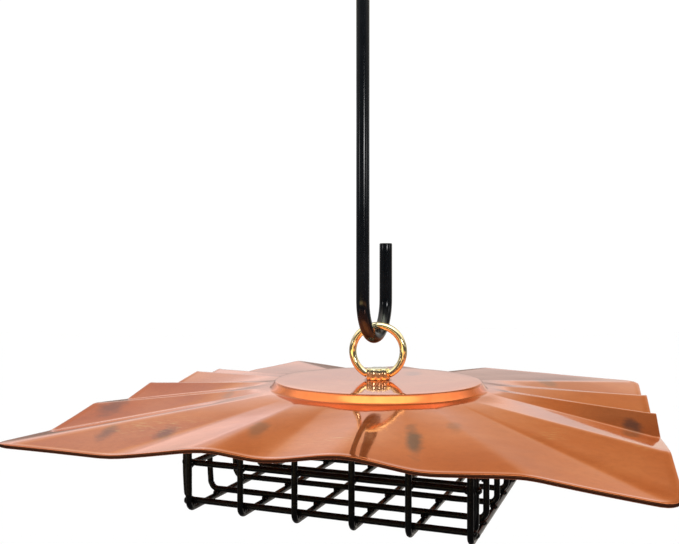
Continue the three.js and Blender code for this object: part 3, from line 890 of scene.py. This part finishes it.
def corner_posts(y):
    """The webs and beads that join an outermost long wire to the end cross wires."""
    webs, beads = [], []
    cross_y = math.copysign(HALF_Y, y)
    for cross_x, leg_x in ((CROSS_X[0], LEFT_LEGS_X), (CROSS_X[-1], RIGHT_LEGS_X)):
        post_x, post_y = (cross_x + leg_x) / 2, (y + cross_y) / 2
        webs.append(post_web(post_x, post_y, CAGE_Z + 3.0, LEG_TOP_Z - 0.6,
                             (leg_x - cross_x, y - cross_y)))
        outward = math.copysign(0.9, leg_x)
        beads.append((in_cage(post_x, post_y, CAGE_Z + 3.6), POST_FOOT_BEAD))
        beads.append((in_cage(leg_x + outward, y, CAGE_Z + MID_HOOP_UP), POST_MID_BEAD))
        beads.append((in_cage(leg_x - outward * 0.3, y, CAGE_Z + 2.6), POST_BEND_BEAD))
    return webs, beads


def build_basket():
    seed = BASKET_SEED
    for i, x in enumerate(CROSS_X):
        corners = [in_cage(x, -HALF_Y, LEG_TOP_Z), in_cage(x, -HALF_Y, CAGE_Z),
                   in_cage(x, HALF_Y, CAGE_Z), in_cage(x, HALF_Y, LEG_TOP_Z)]
        wire_piece(f"basket_cross_{i}", f"basket_cross_wire_{i}", "basket",
                   bent_path(corners, BEND_R), seed, cross_wire_beads(x))
        seed += SEED_STEP
    for i, y in enumerate(LONG_Y):
        outermost = abs(y) == LONG_OUTER_Y
        low = CAGE_Z + NEST + (LONG_OUTER_LIFT if outermost else 0.0)
        corners = [in_cage(LEFT_LEGS_X, y, LEG_TOP_Z), in_cage(LEFT_LEGS_X, y, low),
                   in_cage(RIGHT_LEGS_X, y, low), in_cage(RIGHT_LEGS_X, y, LEG_TOP_Z)]
        beads = []
        for up in (MID_HOOP_UP, RIM_UP):
            for x, inward in ((LEFT_LEGS_X, 1.2), (RIGHT_LEGS_X, -1.2)):
                beads.append((in_cage(x + inward, y, CAGE_Z + up), END_BEAD))
        webs = []
        if outermost:
            webs, post_beads = corner_posts(y)
            beads += post_beads
        path = bent_path(corners, BEND_R)
        for point in path:
            rise = (point.z - low) / (LEG_TOP_Z - low)
            if point.x < CAGE.x + LEFT_LEGS_X + 0.1:
                point.x -= LEG_LEAN * math.sin(math.pi * min(max(rise, 0.0), 1.0))
        wire_piece(f"basket_long_{i}", f"basket_long_wire_{i}", "basket", path, seed, beads, webs)
        seed += SEED_STEP
    for name, node, up in (("basket_hoop_mid", "basket_mid_hoop", MID_HOOP_UP),
                           ("basket_hoop_rim", "basket_rim_hoop", RIM_UP)):
        beads = []
        for x in (HOOP_LEFT_X - 0.4, HOOP_RIGHT_X + 0.4):
            for y in (-HOOP_Y - 0.6, HOOP_Y + 0.6):
                beads.append((in_cage(x, y, CAGE_Z + up), HOOP_CORNER_BEAD))
        wire_piece(name, node, "basket", hoop_path(CAGE_Z + up), seed, beads)
        seed += SEED_STEP


def build_lid():
    seed = LID_SEED
    wire_piece("lid_hoop", "lid_frame", "canopy", hoop_path(LID_Z), seed)
    for i, y in enumerate(LONG_Y[1:-1]):
        z = LID_Z + NEST
        ends = [in_cage(HOOP_LEFT_X - WIRE_R, y, z), in_cage(HOOP_RIGHT_X + WIRE_R, y, z)]
        beads = [(in_cage(x, y, LID_Z + 1.2), LID_LONG_BEAD)
                 for x in (HOOP_LEFT_X, *CROSS_X[1:-1], HOOP_RIGHT_X)]
        seed += SEED_STEP
        wire_piece(f"lid_long_{i}", f"lid_long_wire_{i}", "canopy", bent_path(ends, BEND_R), seed,
                   beads)
    for i, x in enumerate(CROSS_X[1:-1]):
        reach = HOOP_Y - WIRE_R - 0.1
        ends = [in_cage(x, -reach, LID_Z), in_cage(x, reach, LID_Z)]
        beads = [(in_cage(x, side * (reach + 0.1), LID_Z), LID_CROSS_BEAD) for side in (-1, 1)]
        seed += SEED_STEP
        wire_piece(f"lid_cross_{i}", f"lid_cross_wire_{i}", "canopy", bent_path(ends, BEND_R), seed,
                   beads)


# ---- finishes on the CAD nodes that stay --------------------------------------------------------------

def finish_cad_nodes():
    shown = {"zinc": ZINC, "seal_rubber": RUBBER, "rod_black": ROD_BLACK, "wire_black": WIRE_BLACK,
             "copper_sheet": COPPER, "brass": BRASS}
    slots = {row["node"]: row["material_slot"] for row in frame["record"]["subparts"]}
    for name, obj in frame["nodes"].items():
        material = shown[slots[name]]
        if not obj.data.materials:
            obj.data.materials.append(material)
        for i in range(len(obj.data.materials)):
            obj.data.materials[i] = material


# ---- stage ------------------------------------------------------------------------------------------

FLOOR_R = 6000.0
FLOOR_Z = -700.0
# what the metal reflects, from straight down (0) to straight up (1): ahead of the camera, behind it
# and to its sides
BACKDROP = [
    (0.0, (0.20, 0.18, 0.17)), (0.41, (0.20, 0.17, 0.15)), (0.474, (0.25, 0.22, 0.20)),
    (0.500, (0.33, 0.31, 0.29)), (0.526, (0.52, 0.52, 0.51)), (0.545, (0.66, 0.67, 0.67)),
    (0.577, (0.80, 0.83, 0.84)), (0.594, (1.06, 1.08, 1.10)), (0.613, (0.74, 0.76, 0.76)),
    (0.646, (0.74, 0.74, 0.68)), (0.672, (0.67, 0.63, 0.49)), (0.687, (0.60, 0.52, 0.36)),
    (0.703, (0.53, 0.43, 0.27)), (0.735, (0.44, 0.34, 0.19)), (0.79, (0.13, 0.11, 0.09)),
    (0.86, (0.12, 0.10, 0.09)), (1.0, (0.35, 0.32, 0.30)),
]
CAMERA_SIDE = [
    (0.0, (0.05, 0.05, 0.05)), (0.48, (0.02, 0.025, 0.03)), (0.62, (0.03, 0.035, 0.04)),
    (0.78, (0.30, 0.28, 0.26)), (0.86, (3.0, 3.2, 2.6)), (0.95, (3.8, 4.0, 3.2)),
    (1.0, (1.0, 0.95, 0.9)),
]
SIDES = [
    (0.0, (0.08, 0.08, 0.08)), (0.55, (0.06, 0.06, 0.06)), (0.66, (0.30, 0.28, 0.26)),
    (0.76, (1.3, 1.2, 1.05)), (0.90, (1.7, 1.6, 1.4)), (1.0, (1.0, 0.95, 0.9)),
]
# upright strip lights: direction in degrees to the right of straight ahead, width, power
STRIPS = ((158, 0.028, 15.0), (112, 0.02, 4.0), (-118, 0.02, 6.0))
STUDIO_STRENGTH = 1.06


def build_stage():
    material, nodes, shader, where = new_material("floor_white")
    shader.inputs["Base Color"].default_value = rgb(0.95, 0.95, 0.95)
    shader.inputs["Roughness"].default_value = 0.9
    shader.inputs["Specular IOR Level"].default_value = 0.1
    steps = 96
    points = []
    for k in range(steps):
        angle = 2 * math.pi * k / steps
        points.append((FLOOR_R * math.cos(angle), FLOOR_R * math.sin(angle), FLOOR_Z))
    floor = make_object("floor", points, [tuple(range(steps))], material, smooth=False)
    floor.visible_glossy = False

    world = bpy.data.worlds.new("studio")
    bpy.context.scene.world = world
    world.use_nodes = True
    nodes = Nodes(world.node_tree)
    direction = nodes.add("ShaderNodeTexCoord").outputs["Generated"]
    parts = nodes.add("ShaderNodeSeparateXYZ", {0: direction})
    up = parts.outputs["Z"]

    def towards(turn_right):
        """How far the direction agrees with a level one, turned to the right of straight ahead."""
        yaw = CAMERA_YAW - turn_right
        level = (-math.sin(yaw), math.cos(yaw), 0.0)
        node = nodes.add("ShaderNodeVectorMath", {0: direction, 1: level}, operation="DOT_PRODUCT")
        return node.outputs["Value"]

    def rise(value, start, full):
        """0 before start, rising smoothly to 1 at full, in either direction."""
        return nodes.scale_range(value, start, full, 0.0, 1.0, smooth=True)

    def both(a, b):
        return nodes.math("MULTIPLY", a, b)

    ahead = towards(0.0)
    across = towards(math.radians(90))
    height = nodes.scale_range(up, -1.0, 1.0, 0.0, 1.0)
    rear = nodes.ramp(height, BACKDROP)
    right_tint = both(rise(across, 0.08, 0.24), rise(up, 0.12, 0.24))
    right_tint = both(right_tint, nodes.scale_range(across, 0.46, 0.32, 0.35, 1.0, smooth=True))
    rear = nodes.mix(right_tint, rear, rgb(0.80, 0.66, 0.50), "MULTIPLY")
    right_fill = both(rise(across, 0.27, 0.36), rise(up, 0.14, 0.02))
    rear = nodes.mix(right_fill, rear, rgb(0.80, 0.74, 0.66))
    left_fill = both(rise(across, -0.12, -0.24), rise(up, 0.33, 0.39))
    rear = nodes.mix(left_fill, rear, rgb(0.50, 0.52, 0.56))
    front = nodes.ramp(height, CAMERA_SIDE)
    beside = nodes.ramp(height, SIDES)
    flat_length = nodes.math("SQRT", nodes.math("SUBTRACT", 1.0, both(up, up)))
    facing = nodes.math("DIVIDE", ahead, nodes.math("MAXIMUM", flat_length, 0.01))
    reflected = nodes.mix(rise(facing, 0.35, 0.70), beside, rear)
    reflected = nodes.mix(rise(facing, -0.40, -0.80), reflected, front)

    # a warm glow low on the camera's side: yellow on the left, orange on the right
    low_band = both(rise(up, -0.20, -0.14), rise(up, -0.07, -0.11))
    low_glow = both(low_band, rise(facing, -0.30, -0.75))
    hue = nodes.mix(rise(across, -0.35, 0.15), rgb(2.6, 1.9, 0.75), rgb(0.95, 0.42, 0.12))
    warm = nodes.mix(1.0, hue, low_glow, "MULTIPLY")
    reflected = nodes.mix(1.0, reflected, warm, "ADD")

    strip_high = both(rise(up, 0.07, 0.19), rise(up, 0.50, 0.36))
    for turn_right, width, power in STRIPS:
        strip = rise(towards(math.radians(turn_right)), 1.0 - width, 1.0 - width * 0.4)
        lit = both(both(strip, strip_high), power)
        glow = nodes.mix(1.0, rgb(1.0, 1.0, 1.0), lit, "MULTIPLY")
        reflected = nodes.mix(1.0, reflected, glow, "ADD")

    # only mirror-like rays see this room; the rest see an even white
    path = nodes.add("ShaderNodeLightPath")
    glossy = nodes.mix(path.outputs["Is Glossy Ray"], rgb(1, 1, 1), reflected)
    background = nodes.add("ShaderNodeBackground", {"Color": glossy, "Strength": STUDIO_STRENGTH})
    output = nodes.add("ShaderNodeOutputWorld")
    nodes.tree.links.new(background.outputs[0], output.inputs["Surface"])
    bpy.context.scene.view_settings.view_transform = "Standard"


build_hanger()
build_eye()
build_hardware()
build_hinge_loops()
ease_clip_edges()
build_roof()
build_basket()
build_lid()
finish_cad_nodes()
build_stage()
